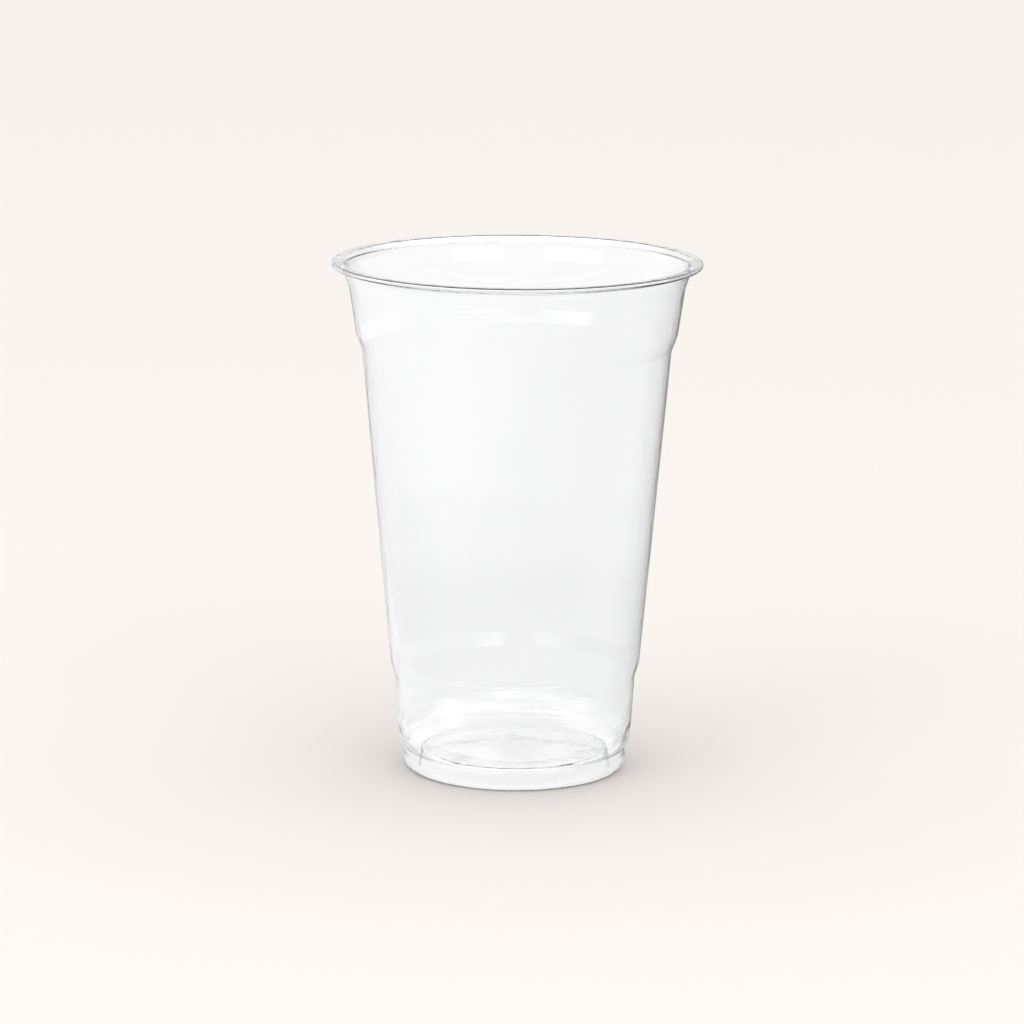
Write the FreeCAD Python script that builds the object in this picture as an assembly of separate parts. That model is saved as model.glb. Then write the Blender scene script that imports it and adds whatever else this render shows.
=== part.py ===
import FreeCAD, Part
import os
import math

# A clear disposable cup, formed as one thin sheet. All lengths are in millimetres.
# The cup's axis is Z, it stands on z = 0 and its mouth opens upward.

# Driving sizes of the cup as a whole
CUP_HEIGHT = 137.0
RIM_RADIUS = 49.0

# Sheet thickness in its regions
WALL = 0.30
FLOOR_SHEET = 0.42
LIP_SHEET = 0.40

# Foot, a hollow ring that the cup stands on
FOOT_RADIUS = 30.09
FOOT_CORNER = 2.9
FOOT_WIDTH = 4.69
FOOT_INNER_CORNER = 0.9
GROOVE_INSET = 0.55
GROOVE_Z = 5.6
GROOVE_ROUND = 0.15

# Raised floor inside the foot, whose wall leans in; the floor rises a little more towards its middle
FLOOR_Z = 4.9
FLOOR_LEAN = 0.6
FLOOR_ROUND = 0.9
RISE_TOP_RADIUS = 9.0
RISE_FOOT_RADIUS = 17.0
RISE_HEIGHT = 0.35
RISE_ROUND = 20.0

# Lower band above the groove, up to the lower step: how far each corner stands out past the foot
BELLY_OUT = 1.02
BELLY_Z = 8.6
BELLY_ROUND = 13.0
LOWER_STEP_OUT = 2.0
LOWER_STEP_Z = 25.06
LOWER_STEP_ROUND = 0.6

# Main tapered wall between the two steps, its low end from the foot
TAPER_LOW_OUT = 3.22
TAPER_LOW_Z = 29.02
TAPER_LOW_ROUND = 2.0

# Corners near the mouth, from the rim's edge inward and from the mouth's plane down:
# top of the taper, lid band above the upper step, flare, and the lip's root
TAPER_TOP_INSET = 8.01
TAPER_TOP_DEPTH = 23.31
TAPER_TOP_ROUND = 0.8
BAND_INSET = 6.44
BAND_DEPTH = 19.45
BAND_ROUND = 14.0
NECK_INSET = 4.62
NECK_DEPTH = 6.85
NECK_ROUND = 5.1
LIP_ROOT_INSET = 3.37
LIP_ROOT_DEPTH = 2.96
LIP_ROOT_ROUND = 1.2

# Lip, the sheet's edge rolled outward and tucked back under: its edge has a short straight part,
# and its tuck falls towards the wall
LIP_DEPTH = 1.2
LIP_INNER_ROUND = 1.3
LIP_TUCK_INSET = 2.6
LIP_TUCK_FALL = 0.75
LIP_EDGE_FLAT = 0.02

# Tightest bend that the sheet takes
TIGHTEST_ROUND = 0.1


def turn_side(before, corner, after):
    """1 where the path turns left at the corner, -1 where it turns right."""
    ax, az = corner[0] - before[0], corner[1] - before[1]
    bx, bz = after[0] - corner[0], after[1] - corner[1]
    return 1 if ax * bz - az * bx > 0 else -1


def shifted_corner(before, corner, after, shift_in, shift_out):
    """Meeting point of two path segments, each moved to its left by its own shift."""
    ax, az = corner[0] - before[0], corner[1] - before[1]
    bx, bz = after[0] - corner[0], after[1] - corner[1]
    a_len, b_len = math.hypot(ax, az), math.hypot(bx, bz)
    ax, az, bx, bz = ax / a_len, az / a_len, bx / b_len, bz / b_len
    px, pz = corner[0] - az * shift_in, corner[1] + ax * shift_in
    qx, qz = corner[0] - bz * shift_out, corner[1] + bx * shift_out
    cross = ax * bz - az * bx
    along = ((qx - px) * bz - (qz - pz) * bx) / cross
    return (px + ax * along, pz + az * along)


def shifted_end(end, other, shift):
    """An end point of the path moved to the left of the segment that starts or ends there."""
    dx, dz = other[0] - end[0], other[1] - end[1]
    length = math.hypot(dx, dz)
    return (end[0] - dz / length * shift, end[1] + dx / length * shift)


def vector(point):
    return FreeCAD.Vector(point[0], 0, point[1])


def rounded_edges(points, rounds):
    """Lines and tangent arcs along a path of corners, in the order of the path."""
    edges = []
    start = points[0]
    for i in range(1, len(points) - 1):
        before, corner, after = points[i - 1], points[i], points[i + 1]
        ux, uz = before[0] - corner[0], before[1] - corner[1]
        wx, wz = after[0] - corner[0], after[1] - corner[1]
        u_len, w_len = math.hypot(ux, uz), math.hypot(wx, wz)
        ux, uz, wx, wz = ux / u_len, uz / u_len, wx / w_len, wz / w_len
        half = math.acos(ux * wx + uz * wz) / 2
        reach = rounds[i] / math.tan(half)
        first = (corner[0] + ux * reach, corner[1] + uz * reach)
        last = (corner[0] + wx * reach, corner[1] + wz * reach)
        mx, mz = ux + wx, uz + wz
        m_len = math.hypot(mx, mz)
        gap = rounds[i] / math.sin(half) - rounds[i]
        middle = (corner[0] + mx / m_len * gap, corner[1] + mz / m_len * gap)
        edges.append(Part.makeLine(vector(start), vector(first)))
        edges.append(Part.Arc(vector(first), vector(middle), vector(last)).toShape())
        start = last
    edges.append(Part.makeLine(vector(start), vector(points[-1])))
    return edges


def build_cup():
    """The cup as one solid, turned from the section of its sheet."""
    crest_z = CUP_HEIGHT - LIP_SHEET
    lip_edge = RIM_RADIUS - LIP_SHEET
    under_z = CUP_HEIGHT - LIP_DEPTH + LIP_SHEET
    lip_hollow_round = (crest_z - under_z - LIP_EDGE_FLAT) / 2
    lip_root = RIM_RADIUS - LIP_ROOT_INSET
    foot_inner = FOOT_RADIUS - FOOT_WIDTH
    rise_z = FLOOR_Z + RISE_HEIGHT

    # Corners of the sheet's outside face, from the axis out to the foot and up to the tucked edge:
    # radius, height, corner radius, thickness of the sheet that follows
    outside = [
        (0.0, rise_z, 0.0, FLOOR_SHEET),
        (RISE_TOP_RADIUS, rise_z, RISE_ROUND, FLOOR_SHEET),
        (RISE_FOOT_RADIUS, FLOOR_Z, RISE_ROUND + FLOOR_SHEET, FLOOR_SHEET),
        (foot_inner - FLOOR_LEAN, FLOOR_Z, FLOOR_ROUND, WALL),
        (foot_inner, 0.0, FOOT_INNER_CORNER, WALL),
        (FOOT_RADIUS, 0.0, FOOT_CORNER, WALL),
        (FOOT_RADIUS - GROOVE_INSET, GROOVE_Z, GROOVE_ROUND, WALL),
        (FOOT_RADIUS + BELLY_OUT, BELLY_Z, BELLY_ROUND, WALL),
        (FOOT_RADIUS + LOWER_STEP_OUT, LOWER_STEP_Z, LOWER_STEP_ROUND, WALL),
        (FOOT_RADIUS + TAPER_LOW_OUT, TAPER_LOW_Z, TAPER_LOW_ROUND, WALL),
        (RIM_RADIUS - TAPER_TOP_INSET, CUP_HEIGHT - TAPER_TOP_DEPTH, TAPER_TOP_ROUND, WALL),
        (RIM_RADIUS - BAND_INSET, CUP_HEIGHT - BAND_DEPTH, BAND_ROUND, WALL),
        (RIM_RADIUS - NECK_INSET, CUP_HEIGHT - NECK_DEPTH, NECK_ROUND, WALL),
        (lip_root, CUP_HEIGHT - LIP_ROOT_DEPTH, LIP_ROOT_ROUND, LIP_SHEET),
        (lip_root, crest_z, LIP_INNER_ROUND - LIP_SHEET, LIP_SHEET),
        (lip_edge, crest_z, lip_hollow_round, LIP_SHEET),
        (lip_edge, under_z, lip_hollow_round, LIP_SHEET),
        (RIM_RADIUS - LIP_TUCK_INSET, under_z - LIP_TUCK_FALL, 0.0, LIP_SHEET),
    ]
    out_points = [(row[0], row[1]) for row in outside]
    out_rounds = [row[2] for row in outside]
    sheet = [row[3] for row in outside]

    in_points = [(0.0, out_points[0][1] + sheet[0])]
    in_rounds = [0.0]
    for i in range(1, len(outside) - 1):
        before, corner, after = out_points[i - 1], out_points[i], out_points[i + 1]
        side = turn_side(before, corner, after)
        thick = (sheet[i - 1] + sheet[i]) / 2
        in_points.append(shifted_corner(before, corner, after, sheet[i - 1], sheet[i]))
        in_rounds.append(max(out_rounds[i] - side * thick, TIGHTEST_ROUND))
    in_points.append(shifted_end(out_points[-1], out_points[-2], -sheet[-2]))
    in_rounds.append(0.0)

    edges = rounded_edges(out_points, out_rounds)
    edges.append(Part.makeLine(vector(out_points[-1]), vector(in_points[-1])))
    edges += rounded_edges(in_points[::-1], in_rounds[::-1])
    edges.append(Part.makeLine(vector(in_points[0]), vector(out_points[0])))
    section = Part.Face(Part.Wire(Part.__sortEdges__(edges)))
    return section.revolve(FreeCAD.Vector(0, 0, 0), FreeCAD.Vector(0, 0, 1), 360)


cup = build_cup()
os.makedirs("parts", exist_ok=True)
cup.exportStep("parts/cup.step")
box = cup.optimalBoundingBox()
print("cup valid", cup.isValid(), "solids", len(cup.Solids), "volume mm3", round(cup.Volume, 1))
print("cup box", round(box.XLength, 3), round(box.YLength, 3), round(box.ZLength, 3), "from z", round(box.ZMin, 4))
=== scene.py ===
import math
import bpy
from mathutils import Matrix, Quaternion, Vector


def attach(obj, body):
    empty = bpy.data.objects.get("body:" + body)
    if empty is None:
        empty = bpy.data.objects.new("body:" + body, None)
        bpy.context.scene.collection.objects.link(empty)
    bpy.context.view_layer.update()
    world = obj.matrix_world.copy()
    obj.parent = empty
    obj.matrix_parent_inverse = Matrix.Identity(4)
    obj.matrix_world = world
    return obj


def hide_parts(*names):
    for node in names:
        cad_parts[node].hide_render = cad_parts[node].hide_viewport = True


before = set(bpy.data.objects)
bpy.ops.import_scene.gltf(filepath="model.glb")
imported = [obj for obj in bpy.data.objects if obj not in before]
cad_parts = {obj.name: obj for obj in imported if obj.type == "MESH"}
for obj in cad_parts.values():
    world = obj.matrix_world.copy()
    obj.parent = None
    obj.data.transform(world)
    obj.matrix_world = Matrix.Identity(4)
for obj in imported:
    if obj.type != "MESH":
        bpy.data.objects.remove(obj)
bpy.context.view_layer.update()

mm = 0.001


# Sets a socket to a plain value, or links it to another node's output.
def feed(tree, socket, value):
    if isinstance(value, bpy.types.NodeSocket):
        tree.links.new(value, socket)
    else:
        socket.default_value = value


def mathNode(tree, operation, first, second=0.0):
    node = tree.nodes.new("ShaderNodeMath")
    node.operation = operation
    feed(tree, node.inputs[0], first)
    feed(tree, node.inputs[1], second)
    return node.outputs[0]


def plus(tree, first, second):
    return mathNode(tree, "ADD", first, second)


def minus(tree, first, second):
    return mathNode(tree, "SUBTRACT", first, second)


def times(tree, first, second):
    return mathNode(tree, "MULTIPLY", first, second)


def over(tree, first, second):
    return mathNode(tree, "DIVIDE", first, second)


def separated(tree, vector):
    node = tree.nodes.new("ShaderNodeSeparateXYZ")
    tree.links.new(vector, node.inputs[0])
    return node.outputs["X"], node.outputs["Y"], node.outputs["Z"]


def combined(tree, x, y, z):
    node = tree.nodes.new("ShaderNodeCombineXYZ")
    for socket, value in zip(node.inputs, (x, y, z)):
        feed(tree, socket, value)
    return node.outputs[0]


# Moves a value from one span to another, and holds it at the ends.
def rangeNode(tree, value, span, start, end, smooth=True):
    node = tree.nodes.new("ShaderNodeMapRange")
    node.interpolation_type = "SMOOTHSTEP" if smooth else "LINEAR"
    feed(tree, node.inputs["Value"], value)
    feed(tree, node.inputs["From Min"], span[0])
    feed(tree, node.inputs["From Max"], span[1])
    feed(tree, node.inputs["To Min"], start)
    feed(tree, node.inputs["To Max"], end)
    return node.outputs["Result"]


def mixValue(tree, factor, first, second):
    node = tree.nodes.new("ShaderNodeMix")
    feed(tree, node.inputs["Factor"], factor)
    feed(tree, node.inputs["A"], first)
    feed(tree, node.inputs["B"], second)
    return node.outputs["Result"]


def noiseFac(tree, vector, size, detail=2.0, stretch=(1.0, 1.0, 1.0)):
    mapping = tree.nodes.new("ShaderNodeMapping")
    mapping.inputs["Scale"].default_value = stretch
    tree.links.new(vector, mapping.inputs["Vector"])
    noise = tree.nodes.new("ShaderNodeTexNoise")
    tree.links.new(mapping.outputs[0], noise.inputs["Vector"])
    feed(tree, noise.inputs["Scale"], over(tree, 1.0, size))
    noise.inputs["Detail"].default_value = detail
    return noise.outputs["Fac"]


def addSockets(tree, direction, kind, names):
    for name in names:
        tree.interface.new_socket(name, in_out=direction, socket_type="NodeSocket" + kind)


# The cup. "Out" is out from the foot's edge, "inset" in from the rim's edge, "depth" down from the mouth.
cupValues = {
    "height": 137.0 * mm,
    "rimRadius": 49.0 * mm,
    "footRadius": 30.09 * mm,
    "wallSheet": 0.30 * mm,
    "floorSheet": 0.42 * mm,
    "lipSheet": 0.40 * mm,
    # floor inside the foot, with a soft rise towards its middle
    "floorHeight": 4.9 * mm,
    "floorLean": 0.6 * mm,
    "floorBend": 0.9 * mm,
    "floorRise": 0.35 * mm,
    "riseTopRadius": 9.0 * mm,
    "riseFootRadius": 17.0 * mm,
    "riseBend": 20.0 * mm,
    # foot ring and the groove above it
    "footWidth": 4.69 * mm,
    "footInnerBend": 0.9 * mm,
    "footBend": 2.9 * mm,
    "grooveInset": 0.55 * mm,
    "grooveHeight": 5.6 * mm,
    "grooveBend": 0.15 * mm,
    # lower band, lower step and the low end of the tapered wall
    "bellyOut": 1.02 * mm,
    "bellyHeight": 8.6 * mm,
    "bellyBend": 13.0 * mm,
    "lowerStepOut": 2.0 * mm,
    "lowerStepHeight": 25.06 * mm,
    "lowerStepBend": 0.6 * mm,
    "taperLowOut": 3.22 * mm,
    "taperLowHeight": 29.02 * mm,
    "taperLowBend": 2.0 * mm,
    # upper step, lid band and neck
    "taperTopInset": 8.01 * mm,
    "taperTopDepth": 23.31 * mm,
    "taperTopBend": 0.8 * mm,
    "bandInset": 6.44 * mm,
    "bandDepth": 19.45 * mm,
    "bandBend": 14.0 * mm,
    "neckInset": 4.62 * mm,
    "neckDepth": 6.85 * mm,
    "neckBend": 5.1 * mm,
    # lip, rolled outward and tucked back under
    "lipRootInset": 3.37 * mm,
    "lipRootDepth": 2.96 * mm,
    "lipRootBend": 1.2 * mm,
    "lipInnerBend": 1.3 * mm,
    "lipDepth": 1.2 * mm,
    "lipEdgeFlat": 0.02 * mm,
    "tuckInset": 2.6 * mm,
    "tuckFall": 0.75 * mm,
    # mesh and the wall's slow ripple
    "segmentsAround": 288,
    "cornerSteps": 8,
    "rowSpacing": 7 * mm,
    "mergeDistance": 0.001 * mm,
    "smoothAngle": 50,
    "rippleDepth": 0.05 * mm,
    "rippleSize": 26 * mm,
    "rippleAround": 36 * mm,
    "rippleStretch": 0.6,
    "rippleFadeIn": (7 * mm, 14 * mm),
    "rippleFadeOut": (122 * mm, 131 * mm),
    "seed": 4.0,
}


# Corners of the sheet's outside face from the axis to the tucked edge: radius, height, bend, sheet.
def sectionCorners(values):
    v = values
    wall, floorSheet, lipSheet = v["wallSheet"], v["floorSheet"], v["lipSheet"]
    foot, rim, mouth = v["footRadius"], v["rimRadius"], v["height"]
    footInner = foot - v["footWidth"]
    floorTop = v["floorHeight"] + v["floorRise"]
    lipRoot = rim - v["lipRootInset"]
    crest = mouth - lipSheet
    under = mouth - v["lipDepth"] + lipSheet
    edge = rim - lipSheet
    tuckBend = (crest - under - v["lipEdgeFlat"]) / 2
    return [
        (0.0, floorTop, 0.0, floorSheet),
        (v["riseTopRadius"], floorTop, v["riseBend"], floorSheet),
        (v["riseFootRadius"], v["floorHeight"], v["riseBend"] + floorSheet, floorSheet),
        (footInner - v["floorLean"], v["floorHeight"], v["floorBend"], wall),
        (footInner, 0.0, v["footInnerBend"], wall),
        (foot, 0.0, v["footBend"], wall),
        (foot - v["grooveInset"], v["grooveHeight"], v["grooveBend"], wall),
        (foot + v["bellyOut"], v["bellyHeight"], v["bellyBend"], wall),
        (foot + v["lowerStepOut"], v["lowerStepHeight"], v["lowerStepBend"], wall),
        (foot + v["taperLowOut"], v["taperLowHeight"], v["taperLowBend"], wall),
        (rim - v["taperTopInset"], mouth - v["taperTopDepth"], v["taperTopBend"], wall),
        (rim - v["bandInset"], mouth - v["bandDepth"], v["bandBend"], wall),
        (rim - v["neckInset"], mouth - v["neckDepth"], v["neckBend"], wall),
        (lipRoot, mouth - v["lipRootDepth"], v["lipRootBend"], lipSheet),
        (lipRoot, crest, v["lipInnerBend"] - lipSheet, lipSheet),
        (edge, crest, tuckBend, lipSheet),
        (edge, under, tuckBend, lipSheet),
        (rim - v["tuckInset"], under - v["tuckFall"], 0.0, lipSheet),
    ]


# The outside face as a chain of edges in the XZ plane, with extra rows along its long straight runs.
def sectionMesh(values):
    corners = sectionCorners(values)
    rows = [corners[0]]
    for start, end in zip(corners, corners[1:]):
        run = math.dist(start[:2], end[:2])
        parts = max(1, round(run / values["rowSpacing"]))
        for step in range(1, parts):
            share = step / parts
            radius = start[0] + (end[0] - start[0]) * share
            height = start[1] + (end[1] - start[1]) * share
            rows.append((radius, height, 0.0, start[3]))
        rows.append(end)
    points = [(radius, 0.0, height) for radius, height, bend, sheet in rows]
    edges = [(i, i + 1) for i in range(len(rows) - 1)]
    mesh = bpy.data.meshes.new("sectionChain")
    mesh.from_pydata(points, edges, [])
    for name, column in (("bend", 2), ("sheet", 3)):
        attribute = mesh.attributes.new(name, "FLOAT", "POINT")
        for item, row in zip(attribute.data, rows):
            item.value = row[column]
    return mesh


def sampled(tree, curve, index, value, kind):
    node = tree.nodes.new("GeometryNodeSampleIndex")
    node.data_type = kind
    node.domain = "POINT"
    tree.links.new(curve, node.inputs["Geometry"])
    tree.links.new(value, node.inputs["Value"])
    tree.links.new(index, node.inputs["Index"])
    return node.outputs["Value"]


def namedField(tree, name):
    node = tree.nodes.new("GeometryNodeInputNamedAttribute")
    node.data_type = "FLOAT"
    node.inputs["Name"].default_value = name
    return node.outputs["Attribute"]


# A slow ripple of the formed wall, the same on both faces and none at the foot and the lip
def rippleOut(tree, given, cosine, sine, height, values):
    reach = values["rippleAround"]
    around = combined(
        tree,
        times(tree, cosine, reach),
        times(tree, sine, reach),
        times(tree, height, values["rippleStretch"]),
    )
    ripple = tree.nodes.new("ShaderNodeTexNoise")
    ripple.noise_dimensions = "4D"
    ripple.normalize = False
    tree.links.new(around, ripple.inputs["Vector"])
    tree.links.new(given["Seed"], ripple.inputs["W"])
    tree.links.new(over(tree, 1.0, given["Ripple Size"]), ripple.inputs["Scale"])
    ripple.inputs["Detail"].default_value = 1.0
    fadeIn = rangeNode(tree, height, values["rippleFadeIn"], 0.0, 1.0)
    fadeOut = rangeNode(tree, height, values["rippleFadeOut"], 1.0, 0.0)
    depth = times(tree, given["Ripple Depth"], times(tree, fadeIn, fadeOut))
    return times(tree, ripple.outputs["Fac"], depth)


# Rounds the section's corners, gives the sheet its thickness and turns it about Z into a closed shell.
def turnedSheetTree(material, values):
    tree = bpy.data.node_groups.new("turnedSheet", "GeometryNodeTree")
    addSockets(tree, "INPUT", "Geometry", ["Geometry"])
    addSockets(tree, "INPUT", "Int", ["Segments Around", "Corner Steps"])
    addSockets(tree, "INPUT", "Float", ["Ripple Depth", "Ripple Size", "Seed"])
    addSockets(tree, "OUTPUT", "Geometry", ["Geometry"])
    new, link = tree.nodes.new, tree.links.new
    given = new("NodeGroupInput").outputs
    out = new("NodeGroupOutput")

    # the section, with its corners rounded
    chain = new("GeometryNodeMeshToCurve")
    link(given["Geometry"], chain.inputs["Mesh"])
    rounded = new("GeometryNodeFilletCurve")
    rounded.mode = "POLY"
    link(chain.outputs["Curve"], rounded.inputs["Curve"])
    link(given["Corner Steps"], rounded.inputs["Count"])
    link(namedField(tree, "bend"), rounded.inputs["Radius"])
    rounded.inputs["Limit Radius"].default_value = True
    section = rounded.outputs["Curve"]
    size = new("GeometryNodeAttributeDomainSize")
    size.component = "CURVE"
    link(section, size.inputs["Geometry"])
    points = size.outputs["Point Count"]

    # a grid with one row for each section point, outside face first and inside face back again
    columns = plus(tree, given["Segments Around"], 1.0)
    rowCount = times(tree, points, 2.0)
    grid = new("GeometryNodeMeshGrid")
    link(rowCount, grid.inputs["Vertices X"])
    link(columns, grid.inputs["Vertices Y"])
    index = new("GeometryNodeInputIndex").outputs["Index"]
    row = mathNode(tree, "FLOOR", over(tree, plus(tree, index, 0.5), columns))
    column = minus(tree, index, times(tree, row, columns))
    back = minus(tree, minus(tree, rowCount, 1.0), row)
    point = mathNode(tree, "MINIMUM", row, back)
    inside = mathNode(tree, "GREATER_THAN", row, back)

    # each row's place on its face
    position = new("GeometryNodeInputPosition").outputs["Position"]
    tangent = new("GeometryNodeInputTangent").outputs["Tangent"]
    place = separated(tree, sampled(tree, section, point, position, "FLOAT_VECTOR"))
    along = separated(tree, sampled(tree, section, point, tangent, "FLOAT_VECTOR"))
    sheet = sampled(tree, section, point, namedField(tree, "sheet"), "FLOAT")
    shift = times(tree, sheet, inside)
    radius = minus(tree, place[0], times(tree, along[2], shift))
    height = plus(tree, place[2], times(tree, along[0], shift))
    angle = times(tree, over(tree, column, given["Segments Around"]), 2 * math.pi)
    cosine, sine = mathNode(tree, "COSINE", angle), mathNode(tree, "SINE", angle)
    radius = plus(tree, radius, rippleOut(tree, given, cosine, sine, place[2], values))
    turned = combined(tree, times(tree, radius, cosine), times(tree, radius, sine), height)
    moved = new("GeometryNodeSetPosition")
    link(grid.outputs["Mesh"], moved.inputs["Geometry"])
    link(turned, moved.inputs["Position"])

    # close the seam and the two poles, and shade smooth but for the cut edge
    merged = new("GeometryNodeMergeByDistance")
    link(moved.outputs[0], merged.inputs["Geometry"])
    merged.inputs["Distance"].default_value = values["mergeDistance"]
    outward = new("GeometryNodeFlipFaces")
    link(merged.outputs[0], outward.inputs["Mesh"])
    smoothFaces = new("GeometryNodeSetShadeSmooth")
    link(outward.outputs[0], smoothFaces.inputs["Geometry"])
    smoothEdges = new("GeometryNodeSetShadeSmooth")
    smoothEdges.domain = "EDGE"
    edgeAngle = new("GeometryNodeInputMeshEdgeAngle").outputs["Unsigned Angle"]
    link(smoothFaces.outputs[0], smoothEdges.inputs["Geometry"])
    nearlyFlat = mathNode(tree, "LESS_THAN", edgeAngle, math.radians(values["smoothAngle"]))
    link(nearlyFlat, smoothEdges.inputs["Shade Smooth"])
    real = new("GeometryNodeRealizeInstances")
    link(smoothEdges.outputs[0], real.inputs["Geometry"])
    finish = new("GeometryNodeSetMaterial")
    finish.inputs["Material"].default_value = material
    link(real.outputs[0], finish.inputs["Geometry"])
    link(finish.outputs[0], out.inputs["Geometry"])
    return tree


# Runs a node tree on a mesh and returns the result as a plain mesh object at the origin.
def bakedPiece(name, mesh, tree, settings):
    source = bpy.data.objects.new(name + "Source", mesh)
    bpy.context.collection.objects.link(source)
    modifier = source.modifiers.new("shape", "NODES")
    modifier.node_group = tree
    for item in tree.interface.items_tree:
        if item.in_out == "INPUT" and item.name in settings:
            modifier[item.identifier] = settings[item.name]
    result = source.evaluated_get(bpy.context.evaluated_depsgraph_get())
    plain = bpy.data.meshes.new_from_object(result)
    bpy.data.objects.remove(source)
    piece = bpy.data.objects.new(name, plain)
    bpy.context.collection.objects.link(piece)
    return piece


# Clear plastic. The stretches draw a pattern out along an axis where they are under 1.
plasticValues = {
    "tint": (0.992, 0.993, 0.994),
    "hazeTint": (0.97, 0.975, 0.985),
    "hazeTintShare": 0.35,
    "refraction": 1.575,
    "smoothRoughness": 0.015,
    "hazeRoughness": 0.05,
    "hazeSize": 18 * mm,
    "hazeSpan": (0.45, 0.75),
    "hazeStretch": (1.0, 1.0, 0.35),
    "waveSize": 5 * mm,
    "waveDepth": 0.05 * mm,
    "waveStretch": (1.0, 1.0, 0.5),
    "drawSizeShare": 0.4,
    "drawDepthShare": 0.15,
    "drawStretch": (1.0, 1.0, 0.15),
    # deeper waves in the floor and the heel
    "heelTop": 13.5 * mm,
    "heelTopSpan": (-1.5 * mm, 1.5 * mm),
    "heelWaveSize": 8 * mm,
    "heelStretch": (0.7, 0.7, 2.2),
    "heelWave": 9.0,
    "floorWave": 1.4,
    "floorSpan": (3.8 * mm, 4.8 * mm),
    "heelSpan": (5.8 * mm, 7.0 * mm),
}


# Colour, roughness and height of a sheet that was heated and drawn into a mould.
def formedSurfaceGroup(values):
    group = bpy.data.node_groups.new("formedSurface", "ShaderNodeTree")
    addSockets(group, "INPUT", "Vector", ["Vector"])
    addSockets(group, "INPUT", "Float", ["Haze Size", "Wave Size", "Heel Top", "Heel Wave Size"])
    addSockets(group, "INPUT", "Float", ["Heel Wave", "Floor Wave", "Smooth Roughness", "Haze Roughness"])
    addSockets(group, "INPUT", "Color", ["Tint"])
    addSockets(group, "OUTPUT", "Color", ["Colour"])
    addSockets(group, "OUTPUT", "Float", ["Roughness", "Height"])
    new, link = group.nodes.new, group.links.new
    given = new("NodeGroupInput").outputs
    out = new("NodeGroupOutput")

    # faint haze in patches, drawn out along the cup's height
    haze = noiseFac(group, given["Vector"], given["Haze Size"], 3.0, values["hazeStretch"])
    haze = rangeNode(group, haze, values["hazeSpan"], 0.0, 1.0, False)
    rough = rangeNode(group, haze, (0.0, 1.0), given["Smooth Roughness"], given["Haze Roughness"], False)
    link(rough, out.inputs["Roughness"])

    # the sheet is a little greyer where it is hazed
    shade = new("ShaderNodeMix")
    shade.data_type = "RGBA"
    shade.blend_type = "MULTIPLY"
    link(times(group, haze, values["hazeTintShare"]), shade.inputs[0])
    link(given["Tint"], shade.inputs["A"])
    shade.inputs["B"].default_value = (*values["hazeTint"], 1.0)
    link(shade.outputs["Result"], out.inputs["Colour"])

    # slow waves with finer draw marks over them
    wave = noiseFac(group, given["Vector"], given["Wave Size"], 2.0, values["waveStretch"])
    drawSize = times(group, given["Wave Size"], values["drawSizeShare"])
    draw = noiseFac(group, given["Vector"], drawSize, 1.0, values["drawStretch"])
    height = plus(group, wave, times(group, draw, values["drawDepthShare"]))

    # deeper waves where the sheet was drawn into the heel and the floor
    up = separated(group, given["Vector"])[2]
    heelWave = noiseFac(group, given["Vector"], given["Heel Wave Size"], 1.5, values["heelStretch"])
    aboveFoot = rangeNode(group, up, values["floorSpan"], 0.0, given["Floor Wave"])
    depth = rangeNode(group, up, values["heelSpan"], aboveFoot, given["Heel Wave"])
    underTop = rangeNode(group, minus(group, given["Heel Top"], up), values["heelTopSpan"], 0.0, 1.0)
    heel = times(group, depth, underTop)
    link(plus(group, height, times(group, heelWave, heel)), out.inputs["Height"])
    return group


def clearPlastic(values, surfaceGroup):
    material = bpy.data.materials.new("clearPlastic")
    material.use_nodes = True
    tree = material.node_tree
    shader = tree.nodes["Principled BSDF"]
    coordinates = tree.nodes.new("ShaderNodeTexCoord")
    surface = tree.nodes.new("ShaderNodeGroup")
    surface.node_tree = surfaceGroup
    tree.links.new(coordinates.outputs["Object"], surface.inputs["Vector"])
    for socket, name in (
        ("Haze Size", "hazeSize"),
        ("Wave Size", "waveSize"),
        ("Heel Top", "heelTop"),
        ("Heel Wave Size", "heelWaveSize"),
        ("Heel Wave", "heelWave"),
        ("Floor Wave", "floorWave"),
        ("Smooth Roughness", "smoothRoughness"),
        ("Haze Roughness", "hazeRoughness"),
    ):
        surface.inputs[socket].default_value = values[name]
    surface.inputs["Tint"].default_value = (*values["tint"], 1.0)
    bump = tree.nodes.new("ShaderNodeBump")
    bump.inputs["Strength"].default_value = 1.0
    bump.inputs["Distance"].default_value = values["waveDepth"]
    tree.links.new(surface.outputs["Height"], bump.inputs["Height"])
    tree.links.new(surface.outputs["Colour"], shader.inputs["Base Color"])
    tree.links.new(surface.outputs["Roughness"], shader.inputs["Roughness"])
    tree.links.new(bump.outputs["Normal"], shader.inputs["Normal"])
    shader.inputs["Transmission Weight"].default_value = 1.0
    shader.inputs["IOR"].default_value = values["refraction"]
    material.diffuse_color = (0.9, 0.93, 0.95, 0.3)  # as the viewport shows it
    return material


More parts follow.
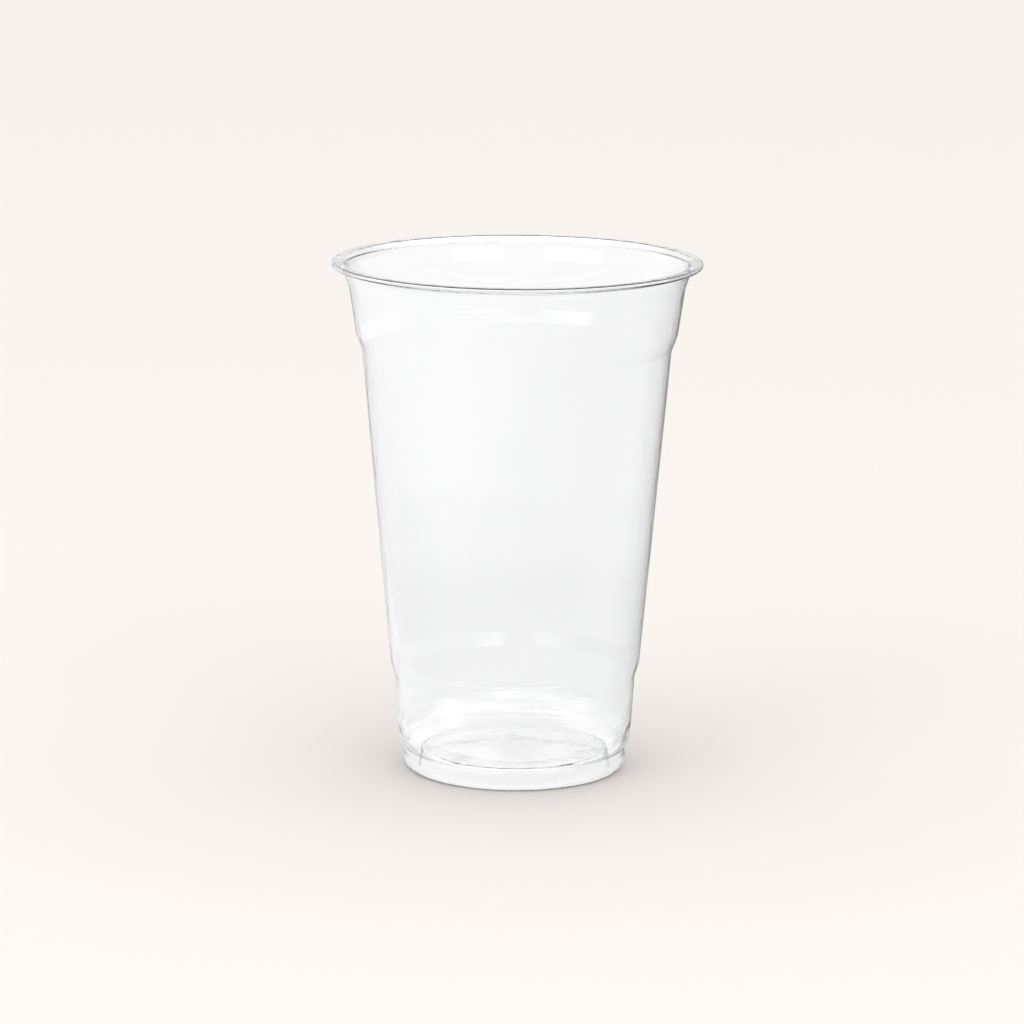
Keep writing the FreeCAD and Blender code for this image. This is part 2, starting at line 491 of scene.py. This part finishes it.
# The room that the cup mirrors. +X is right and -Y the photo's side; spans are shares of a direction.
roomValues = {
    "frontLowLeft": 1.1,
    "frontLowRight": 0.58,
    "frontHighLeft": 0.6,
    "frontHighRight": 0.68,
    "frontUpper": 0.69,
    "behindLowLeft": 1.2,
    "behindLowRight": 0.36,
    "behindHighLeft": 0.9,
    "behindHighRight": 0.8,
    "overhead": 2.0,
    "frontTurnsHigh": (-0.15, -0.05),
    "frontTurnsUpper": (0.08, 0.25),
    "behindTurnsHigh": (-0.1, 0.1),
    "behindLowSpan": (-0.9, 0.3),
    "behindHighSpan": (-0.3, 0.3),
    "frontToBehind": (-0.3, 0.5),
    "turnsOverhead": (0.5, 0.66),
    "panels": (
        {"azimuth": -41, "halfWidth": 19, "elevation": 25, "halfHeight": 7, "level": 1.8},
        {"azimuth": 28, "halfWidth": 17, "elevation": 22.5, "halfHeight": 4.2, "level": 1.7},
    ),
    "panelEdge": (0.6, 1.4),
}


# How bright the room is in a direction, for what the cup mirrors.
def roomLevelGroup(values):
    group = bpy.data.node_groups.new("roomLevel", "ShaderNodeTree")
    addSockets(group, "INPUT", "Vector", ["Direction"])
    addSockets(group, "OUTPUT", "Float", ["Level"])
    given = group.nodes.new("NodeGroupInput").outputs["Direction"]
    out = group.nodes.new("NodeGroupOutput")
    unit = group.nodes.new("ShaderNodeVectorMath")
    unit.operation = "NORMALIZE"
    group.links.new(given, unit.inputs[0])
    right, depth, up = separated(group, unit.outputs[0])

    # the photo's side: below, it falls off from left to right, and higher up it is nearly even
    across = (-1.0, 1.0)
    low = rangeNode(group, right, across, values["frontLowLeft"], values["frontLowRight"], False)
    high = rangeNode(group, right, across, values["frontHighLeft"], values["frontHighRight"], False)
    front = mixValue(group, rangeNode(group, up, values["frontTurnsHigh"], 0.0, 1.0), low, high)
    isUpper = rangeNode(group, up, values["frontTurnsUpper"], 0.0, 1.0)
    front = mixValue(group, isUpper, front, values["frontUpper"])

    # the far side: below, it falls off quickly to the right, and higher up it is nearly even
    lowSpan, highSpan = values["behindLowSpan"], values["behindHighSpan"]
    low = rangeNode(group, right, lowSpan, values["behindLowLeft"], values["behindLowRight"])
    high = rangeNode(group, right, highSpan, values["behindHighLeft"], values["behindHighRight"])
    behind = mixValue(group, rangeNode(group, up, values["behindTurnsHigh"], 0.0, 1.0), low, high)
    level = mixValue(group, rangeNode(group, depth, values["frontToBehind"], 0.0, 1.0), front, behind)
    isOverhead = rangeNode(group, up, values["turnsOverhead"], 0.0, 1.0)
    level = mixValue(group, isOverhead, level, values["overhead"])

    # two soft panels, each with a bright middle and blurred edges
    azimuth = mathNode(group, "ARCTAN2", right, times(group, depth, -1.0))
    elevation = mathNode(group, "ARCSINE", up)
    for panel in values["panels"]:
        mask = 1.0
        acrossIt = (azimuth, panel["azimuth"], panel["halfWidth"])
        upIt = (elevation, panel["elevation"], panel["halfHeight"])
        for angle, middle, half in (acrossIt, upIt):
            away = mathNode(group, "ABSOLUTE", minus(group, angle, math.radians(middle)))
            edge = [math.radians(half * share) for share in values["panelEdge"]]
            mask = times(group, rangeNode(group, away, edge, 1.0, 0.0), mask)
        level = mixValue(group, mask, level, panel["level"])
    group.links.new(level, out.inputs["Level"])
    return group


# Stage: the page round the cup, and the table and wall that show through it
stageValues = {
    "pageColour": (0.965, 0.915, 0.873),
    "floorColour": (0.928, 0.880, 0.840),
    "floorRadius": 6.0,
    "floorSides": 128,
    "roomDiffuse": 0.95,
    "throughWall": 1.0,
    "throughTable": 0.98,
    "tableFarEdge": (0.35, 0.37),
    # painted shade: the table is a little darker close behind the cup
    "nearTableShare": 0.945,
    "nearTableEdge": (0.21, 0.29),
    # the strip of table and wall behind the cup: it widens from a point this far in front of the cup
    "stripApex": 1.2172,
    "stripEdge": (0.055, 0.085),
    "stripStart": (-0.06, -0.04),
    "frontStart": (-0.06, -0.035),
    "frontSpan": (-0.3, -0.1),
    "cupMiddle": (0.0, 0.0, 0.07),
    # painted light: the light that the heel would gather on the table, as a wavy ring
    "ringMiddle": 0.036,
    "ringAcross": 0.031,
    "ringDepth": 0.049,
    "ringOuterEdge": (0.9, 1.04),
    "ringInnerEdge": (0.3, 0.62),
    "ringLevel": 0.15,
    "ringWaveSize": 0.011,
    "ringWaveShare": 0.5,
    "ringWaveStretch": (1.0, 0.35, 1.0),
    "streakSizeShare": 0.6,
    "streakSpan": (0.3, 0.65),
    "streakLow": 0.35,
    "streakStretch": (0.6, 0.4, 1.0),
}


# Rays that only pass through the sheet and are mirrored nowhere, so they show what stands behind the cup
def passedThrough(tree, path):
    neverMirrored = mathNode(tree, "LESS_THAN", path["Glossy Depth"], 0.5)
    return times(tree, path["Is Transmission Ray"], neverMirrored)


# Even light for the floor, and the room for whatever the cup mirrors.
def makeWorld(values, roomLevel):
    world = bpy.data.worlds.new("studio")
    bpy.context.scene.world = world
    world.use_nodes = True
    tree = world.node_tree
    background = tree.nodes["Background"]
    path = tree.nodes.new("ShaderNodeLightPath").outputs
    room = tree.nodes.new("ShaderNodeGroup")
    room.node_tree = roomLevel
    direction = tree.nodes.new("ShaderNodeTexCoord").outputs["Generated"]
    tree.links.new(direction, room.inputs["Direction"])
    towardsFront = rangeNode(tree, separated(tree, direction)[1], values["frontSpan"], 1.0, 0.0)
    seenFromBehind = times(tree, towardsFront, passedThrough(tree, path))
    around = mixValue(tree, seenFromBehind, room.outputs["Level"], values["throughWall"])
    bounced = mathNode(tree, "GREATER_THAN", path["Diffuse Depth"], 0.5)
    lightsFloor = mathNode(tree, "MAXIMUM", path["Is Diffuse Ray"], bounced)
    level = mixValue(tree, lightsFloor, around, values["roomDiffuse"])
    tree.links.new(mixValue(tree, path["Is Camera Ray"], level, 1.0), background.inputs["Strength"])
    page = tree.nodes.new("ShaderNodeMix")
    page.data_type = "RGBA"
    tree.links.new(path["Is Camera Ray"], page.inputs[0])
    page.inputs["A"].default_value = (1.0, 1.0, 1.0, 1.0)
    page.inputs["B"].default_value = (*values["pageColour"], 1.0)
    tree.links.new(page.outputs["Result"], background.inputs["Color"])


# How much brighter the table is painted where the cup's heel would gather light on it: a painted pool of
# light
def paintedGatheredLight(tree, coordinates, right, depth, values):
    across = over(tree, right, values["ringAcross"])
    away = over(tree, minus(tree, depth, values["ringMiddle"]), values["ringDepth"])
    squares = plus(tree, times(tree, across, across), times(tree, away, away))
    wave = noiseFac(tree, coordinates, values["ringWaveSize"], 2.0, values["ringWaveStretch"])
    wobble = times(tree, minus(tree, wave, 0.5), values["ringWaveShare"])
    distance = plus(tree, mathNode(tree, "SQRT", squares), wobble)
    outer = rangeNode(tree, distance, values["ringOuterEdge"], 1.0, 0.0)
    inner = rangeNode(tree, distance, values["ringInnerEdge"], 0.0, 1.0)
    streakSize = times(tree, values["ringWaveSize"], values["streakSizeShare"])
    streak = noiseFac(tree, coordinates, streakSize, 1.0, values["streakStretch"])
    streak = rangeNode(tree, streak, values["streakSpan"], values["streakLow"], 1.0)
    ring = times(tree, times(tree, outer, inner), streak)
    return plus(tree, times(tree, ring, values["ringLevel"]), 1.0)


# What the cup shows of the floor: the strip straight behind it, the page in front of it, or the room
def floorShown(tree, values, roomLevel, path, coordinates):
    right, depth, height = separated(tree, coordinates)
    straight = rangeNode(tree, depth, values["tableFarEdge"], values["throughTable"], values["throughWall"])
    # painted shade: the table is a little darker close behind the cup
    nearTable = rangeNode(tree, depth, values["nearTableEdge"], values["nearTableShare"], 1.0)
    straight = times(tree, straight, nearTable)
    # painted light: the table is brightened in a wavy ring behind the heel
    straight = times(tree, straight, paintedGatheredLight(tree, coordinates, right, depth, values))
    fromApex = plus(tree, depth, values["stripApex"])
    spread = over(tree, mathNode(tree, "ABSOLUTE", right), fromApex)
    inStrip = rangeNode(tree, spread, values["stripEdge"], 1.0, 0.0)
    inStrip = times(tree, inStrip, rangeNode(tree, depth, values["stripStart"], 0.0, 1.0))
    inStrip = times(tree, inStrip, path["Is Transmission Ray"])

    # elsewhere: the room's level in the direction of that place, seen from the cup's middle
    fromCup = tree.nodes.new("ShaderNodeVectorMath")
    fromCup.operation = "SUBTRACT"
    tree.links.new(coordinates, fromCup.inputs[0])
    fromCup.inputs[1].default_value = values["cupMiddle"]
    room = tree.nodes.new("ShaderNodeGroup")
    room.node_tree = roomLevel
    tree.links.new(fromCup.outputs[0], room.inputs["Direction"])
    inFront = rangeNode(tree, depth, values["frontStart"], 1.0, 0.0)
    seenFromBehind = times(tree, inFront, passedThrough(tree, path))
    around = mixValue(tree, seenFromBehind, room.outputs["Level"], values["throughWall"])
    return mixValue(tree, inStrip, around, straight)


def makeFloor(values, roomLevel):
    mesh = bpy.data.meshes.new("floor")
    radius, sides = values["floorRadius"], values["floorSides"]
    turns = [2 * math.pi * i / sides for i in range(sides)]
    corners = [(radius * math.cos(turn), radius * math.sin(turn), 0.0) for turn in turns]
    mesh.from_pydata(corners, [], [list(range(sides))])
    floor = bpy.data.objects.new("floor", mesh)
    bpy.context.collection.objects.link(floor)
    material = bpy.data.materials.new("paleFloor")
    material.use_nodes = True
    tree = material.node_tree
    tree.nodes.remove(tree.nodes["Principled BSDF"])
    paint = tree.nodes.new("ShaderNodeBsdfDiffuse")
    paint.inputs["Color"].default_value = (*values["floorColour"], 1.0)
    path = tree.nodes.new("ShaderNodeLightPath").outputs
    coordinates = tree.nodes.new("ShaderNodeTexCoord").outputs["Object"]
    glow = tree.nodes.new("ShaderNodeEmission")
    tree.links.new(floorShown(tree, values, roomLevel, path, coordinates), glow.inputs["Strength"])

    # the camera and the floor's own light see plain paint
    mix = tree.nodes.new("ShaderNodeMixShader")
    byCup = mathNode(tree, "MAXIMUM", path["Is Transmission Ray"], path["Is Glossy Ray"])
    byCup = times(tree, byCup, mathNode(tree, "LESS_THAN", path["Diffuse Depth"], 0.5))
    tree.links.new(byCup, mix.inputs["Fac"])
    tree.links.new(paint.outputs[0], mix.inputs[1])
    tree.links.new(glow.outputs[0], mix.inputs[2])
    tree.links.new(mix.outputs[0], tree.nodes["Material Output"].inputs["Surface"])
    mesh.materials.append(material)


# Two soft lamps that light the floor. Azimuth 0 is the photo's side, and grows to the right.
lampValues = {
    "aim": (0.0, 0.0, 0.07),
    "elevation": 40,
    "distance": 1.6,
    "width": 0.9,
    "height": 0.6,
    "lamps": (
        {"name": "softboxRight", "azimuth": 27, "radiance": 1.0},
        {"name": "softboxLeft", "azimuth": -43, "radiance": 1.2},
    ),
}


def makeSoftboxes(values):
    lift = math.radians(values["elevation"])
    for given in values["lamps"]:
        turn = math.radians(given["azimuth"])
        towards = Vector((math.sin(turn) * math.cos(lift), -math.cos(turn) * math.cos(lift), math.sin(lift)))
        lamp = bpy.data.lights.new(given["name"], "AREA")
        lamp.shape = "RECTANGLE"
        lamp.size = values["width"]
        lamp.size_y = values["height"]
        lamp.energy = given["radiance"] * math.pi * values["width"] * values["height"]
        softbox = bpy.data.objects.new(given["name"], lamp)
        softbox.location = Vector(values["aim"]) + towards * values["distance"]
        softbox.rotation_euler = (-towards).to_track_quat("-Z", "Y").to_euler()
        softbox.visible_glossy = False
        softbox.visible_transmission = False
        bpy.context.collection.objects.link(softbox)


# The photo's viewpoint: 1.2 m in front, 0.32 m up, with a long lens and a slight lean.
cameraValues = {
    "place": (0.0, -1.2172, 0.3212),
    "aim": (-0.00102, 0.0, 0.0693),
    "lens": 163.98,
    "sensorWidth": 36.0,
    "lean": 0.362,
}


def makeCamera(values):
    camera = bpy.data.cameras.new("camera")
    camera.lens = values["lens"]
    camera.sensor_width = values["sensorWidth"]
    camera.clip_end = 50.0
    viewer = bpy.data.objects.new("camera", camera)
    viewer.location = values["place"]
    level = (Vector(values["aim"]) - viewer.location).to_track_quat("-Z", "Y")
    lean = Quaternion((0.0, 0.0, 1.0), math.radians(values["lean"]))
    viewer.rotation_mode = "QUATERNION"
    viewer.rotation_quaternion = level @ lean
    bpy.context.collection.objects.link(viewer)
    bpy.context.scene.camera = viewer


bpy.context.scene.view_settings.view_transform = "Standard"
makeCamera(cameraValues)
roomLevel = roomLevelGroup(roomValues)
makeWorld(stageValues, roomLevel)
makeFloor(stageValues, roomLevel)
makeSoftboxes(lampValues)
print("camera, floor and lights placed")

plastic = clearPlastic(plasticValues, formedSurfaceGroup(plasticValues))
cupShell = bakedPiece("cupShell", sectionMesh(cupValues), turnedSheetTree(plastic, cupValues), {
    "Segments Around": cupValues["segmentsAround"],
    "Corner Steps": cupValues["cornerSteps"],
    "Ripple Depth": cupValues["rippleDepth"],
    "Ripple Size": cupValues["rippleSize"],
    "Seed": cupValues["seed"],
})
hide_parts("cup")
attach(cupShell, "root")
print("cup turned, vertices", len(cupShell.data.vertices))
